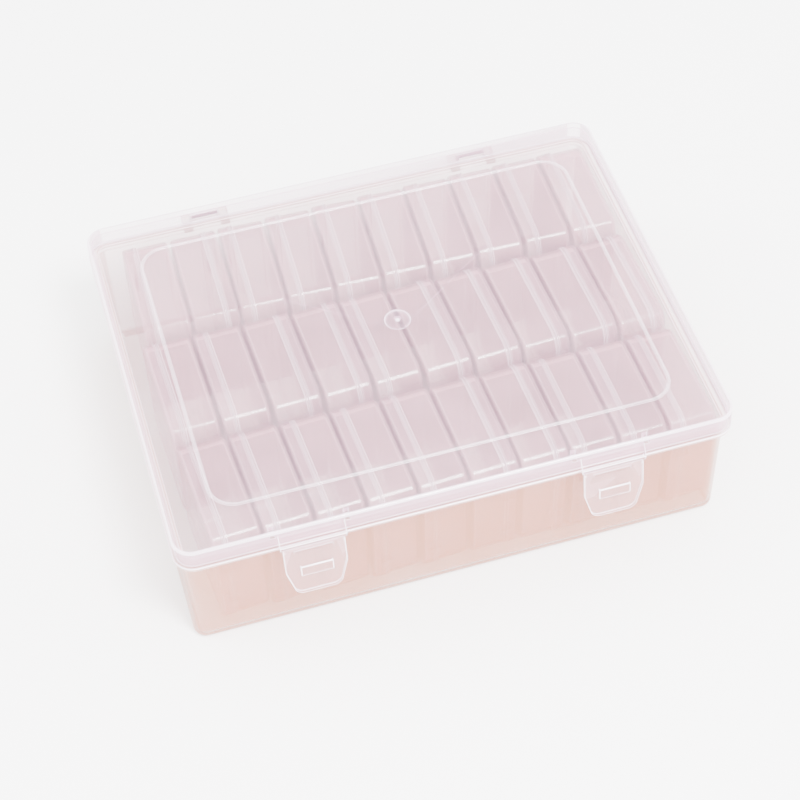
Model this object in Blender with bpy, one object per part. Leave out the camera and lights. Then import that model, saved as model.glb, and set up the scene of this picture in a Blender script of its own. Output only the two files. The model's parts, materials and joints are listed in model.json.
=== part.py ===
"""Craft storage case: a clear hinged case that holds three rows of small clamshell boxes on edge.

Metres, +Z up. The origin is the middle of the case's underside, and the two latches face -Y.
The small boxes drive the case: its inside is as large as their rows and the spaces around them.
With the sizes below it comes out 230 mm wide, 180 mm deep over the rims and 64 mm high.
"""

import math

import bmesh
import bpy
from mathutils import Matrix, Vector

# Fits
seat_gap = 0.0003
overrun = 0.0005

# Small boxes, along X, Y and Z as they stand
box_thickness = 0.020
box_depth = 0.0547
box_height = 0.055
box_corner = 0.008
box_wall = 0.001
deep_half_thickness = 0.0146
box_step = 0.0005
box_flange_thickness = 0.001
knuckle_from_middle = 0.0102
knuckle_height = 0.005
knuckle_reach = 0.0028
knuckle_stand_out = 0.0005
thumb_tab_height = 0.008
thumb_tab_reach = 0.0015

# Rows of boxes: the turn of each box in degrees, and the side that its lid half faces
row_names = ("front", "middle", "back")
row_turns = {
    "front": (3.2, 3.0, 3.0, 3.0, 2.9, 2.5, 2.1, 1.7, 1.4, 1.2),
    "middle": (1.4, 1.6, 2.0, 2.4, 2.8, 3.1, 3.0, 2.6, 2.2, 1.8),
    "back": (-0.5, -1.0, -1.6, -2.1, -2.5, -2.4, -2.0, -1.5, -1.0, -0.6),
}
row_lid_sides = {
    "front": "LLLLLRRLLL",
    "middle": "LLRRLRRRRR",
    "back": "LRLLLLLLLL",
}
front_end_gap = 0.0012
middle_end_gap = 0.0018
back_end_gap = 0.0015
middle_row_slack = 0.0018
row_end_gaps = {"front": front_end_gap, "middle": middle_end_gap, "back": back_end_gap}
row_slacks = {"front": 0, "middle": middle_row_slack, "back": 0}
one_piece_row = "back"

# Spaces around the boxes
box_spacing = 0.0011
row_spacing = 0.0018
end_space = 0.0099
front_space = 0.0021
back_space = 0.0011
head_space = 0.0049

# Case
case_wall = 0.0013
case_floor = 0.0018
case_corner = 0.00535
foot_fillet = 0.00275
flange_width = 0.00325
flange_thickness = 0.00135
locating_rim_height = 0.0026

# Lid
lid_height = 0.00965
lid_wall = 0.0015
lid_draft = 0.0003
lid_fillet = 0.001
ridge_side_inset = 0.0192
ridge_front_inset = 0.0176
ridge_back_inset = 0.0197
ridge_corner = 0.0113
ridge_width = 0.0012
ridge_height = 0.0004
gate_radius = 0.0055
gate_depth = 0.0004
lid_rib_from_latch = 0.015
lid_rib_width = 0.0024
lid_rib_depth = 0.0034
lid_rib_height = 0.0035

# Hinges at the back, one behind each latch
hinge_radius = 0.0023
hinge_pin_radius = 0.0011
hinge_knuckle_width = 0.012
hinge_ear_width = 0.004

# Latches at the front
latch_from_end = 0.0536
latch_stand_off = 0.0022
latch_axis_drop = 0.0001
latch_thickness = 0.0015
latch_width = 0.0249
latch_foot_width = 0.018
latch_length = 0.0243
latch_waist_share = 0.5
latch_corner = 0.0018
latch_bevel = 0.0004
latch_flare_degrees = 9.8
strap_width = 0.0268
strap_straight_height = 0.0019
strap_top_drop = 0.002
finger_rib_width = 0.0133
finger_rib_height = 0.0051
finger_rib_from_axis = 0.0091
finger_rib_stand_out = 0.0009
finger_rib_bevel = 0.0005
catch_width = 0.016
catch_height = 0.0016
catch_from_axis = 0.0021

# Smoothness of the round shapes
case_corner_segments = 6
fillet_segments = 4
box_corner_segments = 3
cylinder_segments = 16
gate_segments = 24
smooth_angle_degrees = 35

# Plastic: colour, roughness and how much light goes through
case_plastic = ((0.86, 0.80, 0.79), 0.16, 0.75)
lid_plastic = ((0.88, 0.84, 0.86), 0.12, 0.80)
latch_plastic = ((0.86, 0.83, 0.85), 0.18, 0.75)
small_box_looks = {
    "mini_base": ((0.84, 0.79, 0.81), 0.15, 0.75),
    "mini_lid": ((0.86, 0.81, 0.83), 0.15, 0.75),
    "mini_box": ((0.85, 0.80, 0.82), 0.15, 0.75),
}

# The case, worked out from the boxes
boxes_per_row = len(row_turns["front"])
box_pitch = box_thickness + box_spacing
row_pitch = box_depth + row_spacing
rows_depth = len(row_names) * box_depth + (len(row_names) - 1) * row_spacing
inner_x = (boxes_per_row * box_pitch + end_space) / 2
inner_y = (rows_depth + front_space + back_space) / 2
inner_corner = case_corner - case_wall
outer_x = inner_x + case_wall
outer_y = inner_y + case_wall
rim_x = outer_x + flange_width
rim_y = outer_y + flange_width
rim_corner = case_corner + flange_width
box_bottom_z = case_floor + seat_gap
lid_top_z = box_bottom_z + box_height + head_space + lid_wall
lid_bottom_z = lid_top_z - lid_height
flange_top_z = lid_bottom_z - seat_gap
flange_bottom_z = flange_top_z - flange_thickness
locating_rim_z = flange_top_z + locating_rim_height
hinge_y = rim_y + hinge_radius + seat_gap
hinge_z = (flange_top_z + lid_bottom_z) / 2
latch_x = rim_x - latch_from_end
latch_y = -rim_y - latch_stand_off
latch_z = lid_bottom_z - latch_axis_drop


def rounded_rectangle(half_a, half_b, corner, segments):
    """The points of a rounded rectangle, counter-clockwise from its +A side, as pairs."""
    points = []
    for quarter, (side_a, side_b) in enumerate(((1, 1), (-1, 1), (-1, -1), (1, -1))):
        centre_a = side_a * (half_a - corner)
        centre_b = side_b * (half_b - corner)
        for step in range(segments + 1):
            angle = (quarter + step / segments) * math.pi / 2
            points.append((centre_a + corner * math.cos(angle), centre_b + corner * math.sin(angle)))
    return points


def level_ring(half_x, half_y, corner, z, inset=0):
    """A ring of the case or its lid at height z, drawn in all round by inset."""
    outline = rounded_rectangle(half_x - inset, half_y - inset, corner - inset, case_corner_segments)
    return [Vector((x, y, z)) for x, y in outline]


def upright_ring(half_y, half_z, corner, x, inset=0):
    """A ring of a small box, upright across its thickness at x, drawn in all round by inset."""
    outline = rounded_rectangle(half_y - inset, half_z - inset, corner - inset, box_corner_segments)
    return [Vector((x, y, z)) for y, z in outline]


def finish_mesh(bm, name):
    """Turn the faces outward, shade round stretches smooth and return the mesh."""
    bmesh.ops.recalc_face_normals(bm, faces=bm.faces)
    mesh = bpy.data.meshes.new(name)
    bm.to_mesh(mesh)
    bm.free()
    mesh.shade_smooth()
    mesh.set_sharp_from_angle(angle=math.radians(smooth_angle_degrees))
    return mesh


def lofted(name, rings):
    """A solid through a row of like rings, closed over the first and the last."""
    bm = bmesh.new()
    loops = [[bm.verts.new(point) for point in ring] for ring in rings]
    bm.faces.new(loops[0])
    bm.faces.new(loops[-1])
    for loop, next_loop in zip(loops, loops[1:]):
        for here in range(len(loop)):
            after = (here + 1) % len(loop)
            bm.faces.new((loop[here], loop[after], next_loop[after], next_loop[here]))
    return finish_mesh(bm, name)


def extruded(name, outline, x_from, x_to):
    """A solid with a side outline of (y, z) points, reaching along X."""
    bm = bmesh.new()
    face = bm.faces.new([bm.verts.new((x_from, y, z)) for y, z in outline])
    moved = bmesh.ops.extrude_face_region(bm, geom=[face])["geom"]
    far_side = [item for item in moved if isinstance(item, bmesh.types.BMVert)]
    bmesh.ops.translate(bm, verts=far_side, vec=(x_to - x_from, 0, 0))
    return finish_mesh(bm, name)


def block(name, low, high, bevel=0):
    """A block between two opposite corners, its edges beveled if asked."""
    low = Vector(low)
    high = Vector(high)
    bm = bmesh.new()
    bmesh.ops.create_cube(bm, size=1)
    bmesh.ops.scale(bm, verts=bm.verts, vec=high - low)
    bmesh.ops.translate(bm, verts=bm.verts, vec=(low + high) / 2)
    if bevel:
        bmesh.ops.bevel(bm, geom=bm.edges[:], offset=bevel, segments=1, affect="EDGES")
    return finish_mesh(bm, name)


def rod_along_x(name, radius, x_from, x_to, y, z):
    """A round rod along X."""
    bm = bmesh.new()
    turn = Matrix.Rotation(math.pi / 2, 4, "Y")
    place = Matrix.Translation(((x_from + x_to) / 2, y, z)) @ turn
    bmesh.ops.create_cone(bm, cap_ends=True, segments=cylinder_segments, radius1=radius, radius2=radius,
                          depth=x_to - x_from, matrix=place)
    return finish_mesh(bm, name)


def plastic(name, look):
    """A clear plastic: a Principled material with the given colour, roughness and transmission."""
    colour, roughness, transmission = look
    material = bpy.data.materials.new(name)
    material.use_nodes = True
    shader = material.node_tree.nodes["Principled BSDF"]
    shader.inputs["Base Color"].default_value = (*colour, 1)
    shader.inputs["Roughness"].default_value = roughness
    shader.inputs["Metallic"].default_value = 0
    shader.inputs["Transmission Weight"].default_value = transmission
    return material


def add_object(name, mesh, material=None):
    """Link a new object for the mesh to the scene."""
    item = bpy.data.objects.new(name, mesh)
    bpy.context.scene.collection.objects.link(item)
    if material and not mesh.materials:
        mesh.materials.append(material)
    return item


def combine(target, mesh, operation):
    """Join a tool mesh to the target, or cut it out, with a live Boolean modifier."""
    tool = add_object(mesh.name, mesh)
    tool.hide_render = True
    tool.display_type = "WIRE"
    modifier = target.modifiers.new(mesh.name, "BOOLEAN")
    modifier.operation = operation
    modifier.solver = "EXACT"
    modifier.object = tool
    return tool


def combined_mesh(name, mesh, joined):
    """One mesh of a body and the pieces joined to it, for an object that is repeated."""
    body = add_object(f"{name}_body", mesh)
    tools = [combine(body, piece, "UNION") for piece in joined]
    bpy.context.view_layer.update()
    evaluated = body.evaluated_get(bpy.context.evaluated_depsgraph_get())
    result = bpy.data.meshes.new_from_object(evaluated)
    result.name = name
    for item in (body, *tools):
        bpy.data.objects.remove(item)
    return result


def move_origin(item, point):
    """Put an object's origin on a point and leave its shape where it is."""
    item.data.transform(Matrix.Translation(-Vector(point)))
    item.location = point


def hinge_outline(root_y, web):
    """Side outline of a hinge piece: a round eye on the axis, with a web to root_y.

    The web lies above the parting plane for the lid (web is 1), and below it for the case (-1).
    """
    web_start = math.asin(seat_gap / hinge_radius)
    turn = 3 * math.pi / 2 + web_start
    steps = cylinder_segments
    eye = []
    for step in range(steps + 1):
        angle = math.pi / 2 - turn * step / steps
        eye.append((hinge_y + hinge_radius * math.cos(angle), hinge_z + web * hinge_radius * math.sin(angle)))
    inner = hinge_z + web * hinge_radius * math.sin(web_start)
    return eye + [(root_y, inner), (root_y, hinge_z + web * hinge_radius)]


def make_case_base(material):
    """The tray: floor, wall, the flange that carries the lid and the rim that locates it."""
    rings = []
    for step in range(fillet_segments + 1):
        angle = step / fillet_segments * math.pi / 2
        inset = foot_fillet * (1 - math.sin(angle))
        z = foot_fillet * (1 - math.cos(angle))
        rings.append(level_ring(outer_x, outer_y, case_corner, z, inset))
    rings.append(level_ring(outer_x, outer_y, case_corner, flange_bottom_z))
    rings.append(level_ring(rim_x, rim_y, rim_corner, flange_bottom_z))
    rings.append(level_ring(rim_x, rim_y, rim_corner, flange_top_z))
    rings.append(level_ring(outer_x, outer_y, case_corner, flange_top_z))
    rings.append(level_ring(outer_x, outer_y, case_corner, locating_rim_z))
    rings.append(level_ring(inner_x, inner_y, inner_corner, locating_rim_z))
    inner_fillet = foot_fillet - case_wall
    rings.append(level_ring(inner_x, inner_y, inner_corner, case_floor + inner_fillet))
    rings.append(level_ring(inner_x, inner_y, inner_corner, case_floor, inner_fillet))
    base = add_object("case_base", lofted("case_base", rings), material)

    for side in (-1, 1):
        place = "left" if side < 0 else "right"
        half_knuckle = hinge_knuckle_width / 2 + seat_gap
        for ear in (-1, 1):
            near = side * latch_x + ear * half_knuckle
            far = near + ear * hinge_ear_width
            outline = hinge_outline(inner_y + case_wall / 2, -1)
            end = "inner" if ear * side < 0 else "outer"
            piece = extruded(f"hinge_ear_{place}_{end}", outline, min(near, far), max(near, far))
            combine(base, piece, "UNION")
        pin_half = half_knuckle + overrun
        pin = rod_along_x(f"hinge_pin_{place}", hinge_pin_radius, side * latch_x - pin_half,
                          side * latch_x + pin_half, hinge_y, hinge_z)
        combine(base, pin, "UNION")
    return base


def make_case_lid(material):
    """The lid: a shallow cap with a skirt, a raised line on top, straps, ribs and hinge knuckles."""
    lid_ceiling_z = lid_top_z - lid_wall
    shoulder_z = lid_top_z - lid_fillet
    ridge_x = rim_x - ridge_side_inset
    ridge_y = rim_y - (ridge_front_inset + ridge_back_inset) / 2
    ridge_shift = Vector((0, (ridge_front_inset - ridge_back_inset) / 2, 0))
    rings = [level_ring(rim_x, rim_y, rim_corner, lid_ceiling_z, lid_wall + lid_draft)]
    rings.append(level_ring(rim_x, rim_y, rim_corner, lid_bottom_z, lid_wall))
    rings.append(level_ring(rim_x, rim_y, rim_corner, lid_bottom_z))
    for step in range(fillet_segments // 2 + 1):
        angle = step / (fillet_segments // 2) * math.pi / 2
        inset = lid_draft + lid_fillet * (1 - math.cos(angle))
        z = shoulder_z + lid_fillet * math.sin(angle)
        rings.append(level_ring(rim_x, rim_y, rim_corner, z, inset))
    for inset, rise in ((0, 0), (0, ridge_height), (ridge_width, ridge_height), (ridge_width, 0)):
        ring = level_ring(ridge_x, ridge_y, ridge_corner, lid_top_z + rise, inset)
        rings.append([point + ridge_shift for point in ring])
    lid = add_object("case_lid", lofted("case_lid", rings), material)

    gate = bmesh.new()
    bmesh.ops.create_cone(gate, cap_ends=True, segments=gate_segments, radius1=gate_radius,
                          radius2=gate_radius, depth=2 * gate_depth,
                          matrix=Matrix.Translation((0, 0, lid_top_z)))
    combine(lid, finish_mesh(gate, "gate_mark"), "DIFFERENCE")

    for side in (-1, 1):
        place = "left" if side < 0 else "right"
        half_knuckle = hinge_knuckle_width / 2
        centre = side * latch_x
        knuckle = extruded(f"hinge_knuckle_{place}", hinge_outline(rim_y - lid_wall / 2, 1),
                           centre - half_knuckle, centre + half_knuckle)
        combine(lid, knuckle, "UNION")
        bore_half = half_knuckle + overrun
        bore = rod_along_x(f"hinge_bore_{place}", hinge_pin_radius + seat_gap, centre - bore_half,
                           centre + bore_half, hinge_y, hinge_z)
        combine(lid, bore, "DIFFERENCE")

        strap_bottom_z = latch_z + latch_thickness / 2 + seat_gap
        strap_face_y = latch_y - latch_thickness / 2
        strap_root_y = -rim_y + lid_wall / 2
        strap_top_z = lid_top_z - strap_top_drop
        slope_root_y = -rim_y + lid_draft
        outline = [(strap_root_y, strap_bottom_z), (strap_face_y, strap_bottom_z),
                   (strap_face_y, strap_bottom_z + strap_straight_height), (slope_root_y, strap_top_z),
                   (strap_root_y, strap_top_z)]
        combine(lid, extruded(f"latch_strap_{place}", outline, centre - strap_width / 2,
                              centre + strap_width / 2), "UNION")

        for rib in (-1, 1):
            rib_x = centre + rib * lid_rib_from_latch
            low = (rib_x - lid_rib_width / 2, -rim_y + lid_wall / 2, lid_ceiling_z - lid_rib_height)
            high = (rib_x + lid_rib_width / 2, -rim_y + lid_wall + lid_rib_depth,
                    lid_ceiling_z + lid_wall / 2)
            end = "inner" if rib * side < 0 else "outer"
            combine(lid, block(f"lid_rib_{place}_{end}", low, high), "UNION")
    move_origin(lid, (0, hinge_y, hinge_z))
    return lid


def latch_mesh():
    """A latch flap about its hinge axis, hanging straight down: barrel, plate, finger rib and catch."""
    top = latch_width / 2
    foot = latch_foot_width / 2
    waist_z = -latch_length * latch_waist_share
    slope = Vector((top - foot, waist_z + latch_length)).normalized() * latch_corner
    right = [(top, 0), (top, waist_z)]
    right += [(foot + slope.x, slope.y - latch_length), (foot - latch_corner, -latch_length)]
    outline = right + [(-x, z) for x, z in reversed(right)]
    back_y = latch_thickness / 2
    bm = bmesh.new()
    face = bm.faces.new([bm.verts.new((x, back_y, z)) for x, z in outline])
    moved = bmesh.ops.extrude_face_region(bm, geom=[face])["geom"]
    front = [item for item in moved if isinstance(item, bmesh.types.BMVert)]
    bmesh.ops.translate(bm, verts=front, vec=(0, -latch_thickness, 0))
    rim = [edge for edge in bm.edges if all(vert in front for vert in edge.verts) and
           any(vert.co.z < 0 for vert in edge.verts)]
    bmesh.ops.bevel(bm, geom=rim, offset=latch_bevel, segments=1, affect="EDGES")
    plate = finish_mesh(bm, "latch_plate")

    barrel = rod_along_x("latch_barrel", latch_thickness / 2, -top, top, 0, 0)
    rib_low = (-finger_rib_width / 2, -latch_thickness / 2 - finger_rib_stand_out,
               -finger_rib_from_axis - finger_rib_height)
    rib_high = (finger_rib_width / 2, 0, -finger_rib_from_axis)
    rib = block("finger_rib", rib_low, rib_high, finger_rib_bevel)
    flare = math.radians(latch_flare_degrees)
    catch_tip = (latch_stand_off - seat_gap + catch_from_axis * math.sin(flare)) / math.cos(flare)
    catch = block("catch", (-catch_width / 2, 0, -catch_from_axis - catch_height),
                  (catch_width / 2, catch_tip, -catch_from_axis))
    return combined_mesh("latch", plate, (barrel, rib, catch))


def make_latches(material):
    """The two flaps, each turned out by its flare, with its origin on its hinge axis."""
    mesh = latch_mesh()
    for side, place in ((-1, "left"), (1, "right")):
        latch = add_object(f"latch_{place}", mesh, material)
        latch.location = (side * latch_x, latch_y, latch_z)
        latch.rotation_euler.x = -math.radians(latch_flare_degrees)


def deep_half(x_mouth):
    """The deep half of a small box, about the box's middle: an upright tray with a flange at its mouth."""
    half_y = box_depth / 2
    half_z = box_height / 2
    outer = -box_thickness / 2
    rings = [upright_ring(half_y, half_z, box_corner, outer, box_step)]
    rings.append(upright_ring(half_y, half_z, box_corner, x_mouth - box_flange_thickness, box_step))
    rings.append(upright_ring(half_y, half_z, box_corner, x_mouth - box_flange_thickness))
    rings.append(upright_ring(half_y, half_z, box_corner, x_mouth))
    rings.append(upright_ring(half_y, half_z, box_corner, x_mouth, box_step + box_wall))
    rings.append(upright_ring(half_y, half_z, box_corner, outer + box_wall, box_step + box_wall))
    return lofted("deep_half", rings)


def lid_half(x_mouth):
    """The lid half of a small box, about the box's middle: a shallow upright cap."""
    half_y = box_depth / 2
    half_z = box_height / 2
    outer = box_thickness / 2
    rings = [upright_ring(half_y, half_z, box_corner, outer)]
    rings.append(upright_ring(half_y, half_z, box_corner, x_mouth))
    rings.append(upright_ring(half_y, half_z, box_corner, x_mouth, box_wall))
    rings.append(upright_ring(half_y, half_z, box_corner, outer - box_wall, box_wall))
    return lofted("lid_half", rings)


def knuckles(x_from, x_to):
    """The two hinge knuckles on a small box's front, from x_from to x_to."""
    front = -box_depth / 2 - knuckle_stand_out
    root = -box_depth / 2 + box_step + box_wall / 2
    pieces = []
    for side, place in ((-1, "lower"), (1, "upper")):
        low_z = side * knuckle_from_middle - knuckle_height / 2
        low = (x_from, front, low_z)
        high = (x_to, root, low_z + knuckle_height)
        pieces.append(block(f"box_knuckle_{place}", low, high))
    return pieces


def thumb_tab(x_mouth):
    """The tab on the back of a lid half that opens the small box."""
    low = (x_mouth, box_depth / 2 - box_wall / 2, -thumb_tab_height / 2)
    high = (x_mouth + thumb_tab_reach, box_depth / 2 + knuckle_stand_out, thumb_tab_height / 2)
    return block("thumb_tab", low, high)


def small_box_meshes(one_piece):
    """The meshes of a small box by kind: its two halves, or both joined at their hinge knuckles."""
    deep_mouth = deep_half_thickness - box_thickness / 2
    lid_mouth = deep_mouth + seat_gap
    low = deep_mouth - knuckle_reach
    high = lid_mouth + knuckle_reach
    if one_piece:
        pieces = (lid_half(lid_mouth), *knuckles(low, high), thumb_tab(lid_mouth))
        return {"mini_box": combined_mesh("mini_box", deep_half(deep_mouth), pieces)}
    lid_pieces = (*knuckles(lid_mouth, high), thumb_tab(lid_mouth))
    return {
        "mini_base": combined_mesh("mini_base", deep_half(deep_mouth), knuckles(low, deep_mouth)),
        "mini_lid": combined_mesh("mini_lid", lid_half(lid_mouth), lid_pieces),
    }


def box_place(row, index):
    """Where a small box stands, as a matrix: its spot in the row, its turn and the way it faces."""
    spread = box_pitch + row_slacks[row] / (boxes_per_row - 1)
    last_x = inner_x - row_end_gaps[row] - box_thickness / 2
    x = last_x - (boxes_per_row - 1 - index) * spread
    front_y = -inner_y + front_space + box_depth / 2
    y = front_y + row_names.index(row) * row_pitch
    z = box_bottom_z + box_height / 2
    turn = Matrix.Rotation(math.radians(row_turns[row][index]), 4, "Z")
    facing = Matrix.Rotation(math.pi if row_lid_sides[row][index] == "L" else 0, 4, "Y")
    return Matrix.Translation((x, y, z)) @ turn @ facing


def make_small_boxes(looks):
    """Every small box in its row, as its halves or, in the row of one-piece boxes, as one object."""
    halves = small_box_meshes(one_piece=False)
    whole = small_box_meshes(one_piece=True)
    for kind, mesh in (*halves.items(), *whole.items()):
        mesh.materials.append(plastic(f"{kind}_plastic", looks[kind]))
    for row in row_names:
        for index in range(boxes_per_row):
            for kind, mesh in (whole if row == one_piece_row else halves).items():
                item = add_object(f"{kind}_{row}_{index + 1:02d}", mesh)
                item.matrix_world = box_place(row, index)


def main():
    for item in list(bpy.data.objects):
        bpy.data.objects.remove(item)
    make_case_base(plastic("case_plastic", case_plastic))
    make_case_lid(plastic("lid_plastic", lid_plastic))
    make_latches(plastic("latch_plastic", latch_plastic))
    make_small_boxes(small_box_looks)


main()
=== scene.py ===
"""The visible pieces of a clear craft storage case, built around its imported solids.

Metres throughout. Run as a script: it loads the solids, builds each piece with its operator and
sets the stage.
"""

import json
import math

import bmesh
import bpy
from mathutils import Matrix, Vector


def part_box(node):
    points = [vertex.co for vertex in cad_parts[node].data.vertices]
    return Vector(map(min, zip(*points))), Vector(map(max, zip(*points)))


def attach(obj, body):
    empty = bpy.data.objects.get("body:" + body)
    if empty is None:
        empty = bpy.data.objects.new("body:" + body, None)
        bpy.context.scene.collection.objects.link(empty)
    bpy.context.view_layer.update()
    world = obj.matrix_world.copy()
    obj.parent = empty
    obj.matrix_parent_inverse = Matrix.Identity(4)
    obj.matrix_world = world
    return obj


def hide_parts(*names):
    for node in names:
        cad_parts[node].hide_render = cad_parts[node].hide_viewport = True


bl_info = {
    "name": "Craft storage case",
    "version": (1, 0, 0),
    "blender": (4, 5, 0),
    "location": "View3D > Sidebar > Storage case",
    "description": "Builds the visible pieces of a clear storage case with small boxes in it",
    "category": "Object",
}

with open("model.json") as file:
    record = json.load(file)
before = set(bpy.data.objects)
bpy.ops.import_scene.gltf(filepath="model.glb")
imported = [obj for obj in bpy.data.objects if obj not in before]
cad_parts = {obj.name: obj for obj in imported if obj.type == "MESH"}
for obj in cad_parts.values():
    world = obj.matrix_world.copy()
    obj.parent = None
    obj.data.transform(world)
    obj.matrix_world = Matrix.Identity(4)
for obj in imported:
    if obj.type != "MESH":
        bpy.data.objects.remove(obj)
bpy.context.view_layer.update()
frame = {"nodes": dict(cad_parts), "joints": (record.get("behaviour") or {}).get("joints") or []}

BASE_LOW, BASE_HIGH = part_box("case_base")
LID_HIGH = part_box("case_lid")[1]
LID_HINGE = next(joint for joint in frame["joints"] if joint["name"] == "lid_hinge")
HINGE_AXIS = Vector(LID_HINGE["pos_m"])
SIDES = ("left", "right")
WELD = 0.000002  # vertices closer than this become one
FLAT = 0.00005  # faces of a solid within this depth are one flat end
FACING = 0.999  # cosine from which two normals count as the same
SHARP_ANGLE = math.radians(25)
SMOOTH_ANGLE = math.radians(40)

# How far the painted highlight of a rounded edge, its whiter tint and opacity, fades into the flats beside
# it
FADE = 0.00018
LINE_FADE = 0.00003
DEEP_FADE = 0.00012
HALF_FADE = 0.00006

# Where a flat cap starts inside its outline, as a share of the corner's radius
LID_CAP_SHARE = 0.9
DEEP_CAP_SHARE = 0.8
HALF_CAP_SHARE = 0.85

# Painted highlight: knuckles and tabs get this share of the whiter edge tint.
KNUCKLE_EDGE = 0.7  # how much of a moulded edge a knuckle counts as


def length(name, default, description):
    """A length property in metres."""
    return bpy.props.FloatProperty(name=name, description=description, default=default, min=0,
                                   precision=5, unit="LENGTH")


def share(name, default, description):
    """A property from 0 to 1."""
    return bpy.props.FloatProperty(name=name, description=description, default=default, min=0, max=1,
                                   subtype="FACTOR")


def angle(name, default, description):
    """An angle property, given in degrees."""
    return bpy.props.FloatProperty(name=name, description=description, default=math.radians(default),
                                   subtype="ANGLE")


def power(name, default, description):
    """A lamp power property in watts."""
    return bpy.props.FloatProperty(name=name, description=description, default=default, min=0, unit="POWER")


def offset(name, default, description):
    """A property for a place from the point that the camera looks at."""
    return bpy.props.FloatVectorProperty(name=name, description=description, default=default,
                                         subtype="TRANSLATION", size=3)


def colour(name, default, description):
    """A colour property."""
    return bpy.props.FloatVectorProperty(name=name, description=description, default=default,
                                         subtype="COLOR", size=3, min=0, max=1)


class CaseSizes(bpy.types.PropertyGroup):
    """Sizes of the case and its lid."""

    rim_corner: length("Rim corner", 0.0086, "Corner radius of the rim and the lid, seen from above")
    rim_overhang: length("Rim overhang", 0.00325, "How far the rim stands out past the wall")
    rim_thickness: length("Rim thickness", 0.00135, "Thickness of the base's rim flange")
    base_wall: length("Base wall", 0.0013, "Thickness of the base's wall")
    base_floor: length("Base floor", 0.0018, "Thickness of the base's floor")
    foot_fillet: length("Foot fillet", 0.00275, "Radius between the base's wall and its underside")
    locating_rim: length("Locating rim", 0.0026, "Height of the rim inside the lid's skirt")
    parting_gap: length("Parting gap", 0.0003, "Gap between the lid and the base's rim")
    lid_wall: length("Lid wall", 0.0015, "Thickness of the lid")
    lid_height: length("Lid height", 0.00965, "Height of the lid's skirt up to its top face")
    lid_draft: length("Lid draft", 0.0003, "How far the skirt leans in at the top")
    lid_fillet: length("Lid fillet", 0.001, "Radius of the lid's top edge")
    line_side: length("Raised line side", 0.0192, "Distance of the raised line from the lid's sides")
    line_front: length("Raised line front", 0.0176, "Distance of the raised line from the lid's front")
    line_back: length("Raised line back", 0.0197, "Distance of the raised line from the lid's back")
    line_corner: length("Raised line corner", 0.0113, "Corner radius of the raised line")
    line_width: length("Raised line width", 0.0012, "Width of the raised line")
    line_height: length("Raised line height", 0.0004, "Height of the raised line")
    gate_radius: length("Gate mark radius", 0.0055, "Radius of the round gate mark in the lid's middle")
    gate_depth: length("Gate mark depth", 0.0004, "Depth of the gate mark's ring")
    rib_spread: length("Rib spread", 0.015, "Distance of a front rib from its latch's middle")
    rib_width: length("Rib width", 0.0024, "Width of a front rib")
    rib_depth: length("Rib depth", 0.0034, "How far a front rib reaches in from the skirt")
    rib_height: length("Rib height", 0.0035, "How far a front rib reaches down from the lid")
    edge_radius: length("Edge radius", 0.0003, "Radius of the moulded edges")


class HingeSizes(bpy.types.PropertyGroup):
    """Sizes of the hinges at the back."""

    eye_radius: length("Eye radius", 0.0023, "Outer radius of a hinge eye")
    pin_radius: length("Pin radius", 0.0011, "Radius of the hinge pin")
    knuckle_width: length("Knuckle width", 0.012, "Width of the lid's knuckle")
    ear_width: length("Ear width", 0.004, "Width of each ear on the base")
    running_gap: length("Running gap", 0.0003, "Gap between the pieces of a hinge")


class LatchSizes(bpy.types.PropertyGroup):
    """Sizes of the latches and their straps."""

    thickness: length("Thickness", 0.0015, "Thickness of a latch flap")
    width: length("Width", 0.0249, "Width of a flap at its hinge")
    foot_width: length("Foot width", 0.018, "Width of a flap at its foot")
    drop: length("Length", 0.0243, "Length of a flap from its hinge to its foot")
    waist: share("Waist", 0.5, "Share of the flap's length where it starts to narrow")
    corner: length("Corner", 0.0018, "Corner size at the flap's foot")
    flare: angle("Flare", 9.8, "Angle of the closed flap off the vertical")
    barrel: share("Barrel", 0.97, "Share of the flap's thickness that its round hinge end takes")
    border: length("Border", 0.0008, "Width of the raised border round the flap")
    border_height: length("Border height", 0.0003, "Height of the raised border")
    grip_width: length("Grip width", 0.0133, "Width of the finger rib")
    grip_height: length("Grip height", 0.0051, "Height of the finger rib along the flap")
    grip_from_hinge: length("Grip place", 0.0091, "Distance of the finger rib from the hinge")
    grip_stand_out: length("Grip stand-out", 0.0009, "How far the finger rib stands out")
    catch_width: length("Catch width", 0.016, "Width of the catch inside the flap")
    catch_height: length("Catch height", 0.0016, "Height of the catch")
    catch_from_hinge: length("Catch place", 0.0021, "Distance of the catch from the hinge")
    strap_width: length("Strap width", 0.0268, "Width of the strap above a latch")
    strap_face: length("Strap face", 0.0019, "Height of the strap's upright face")
    strap_top: length("Strap top", 0.002, "Distance of the strap's upper end from the lid's top")


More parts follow.
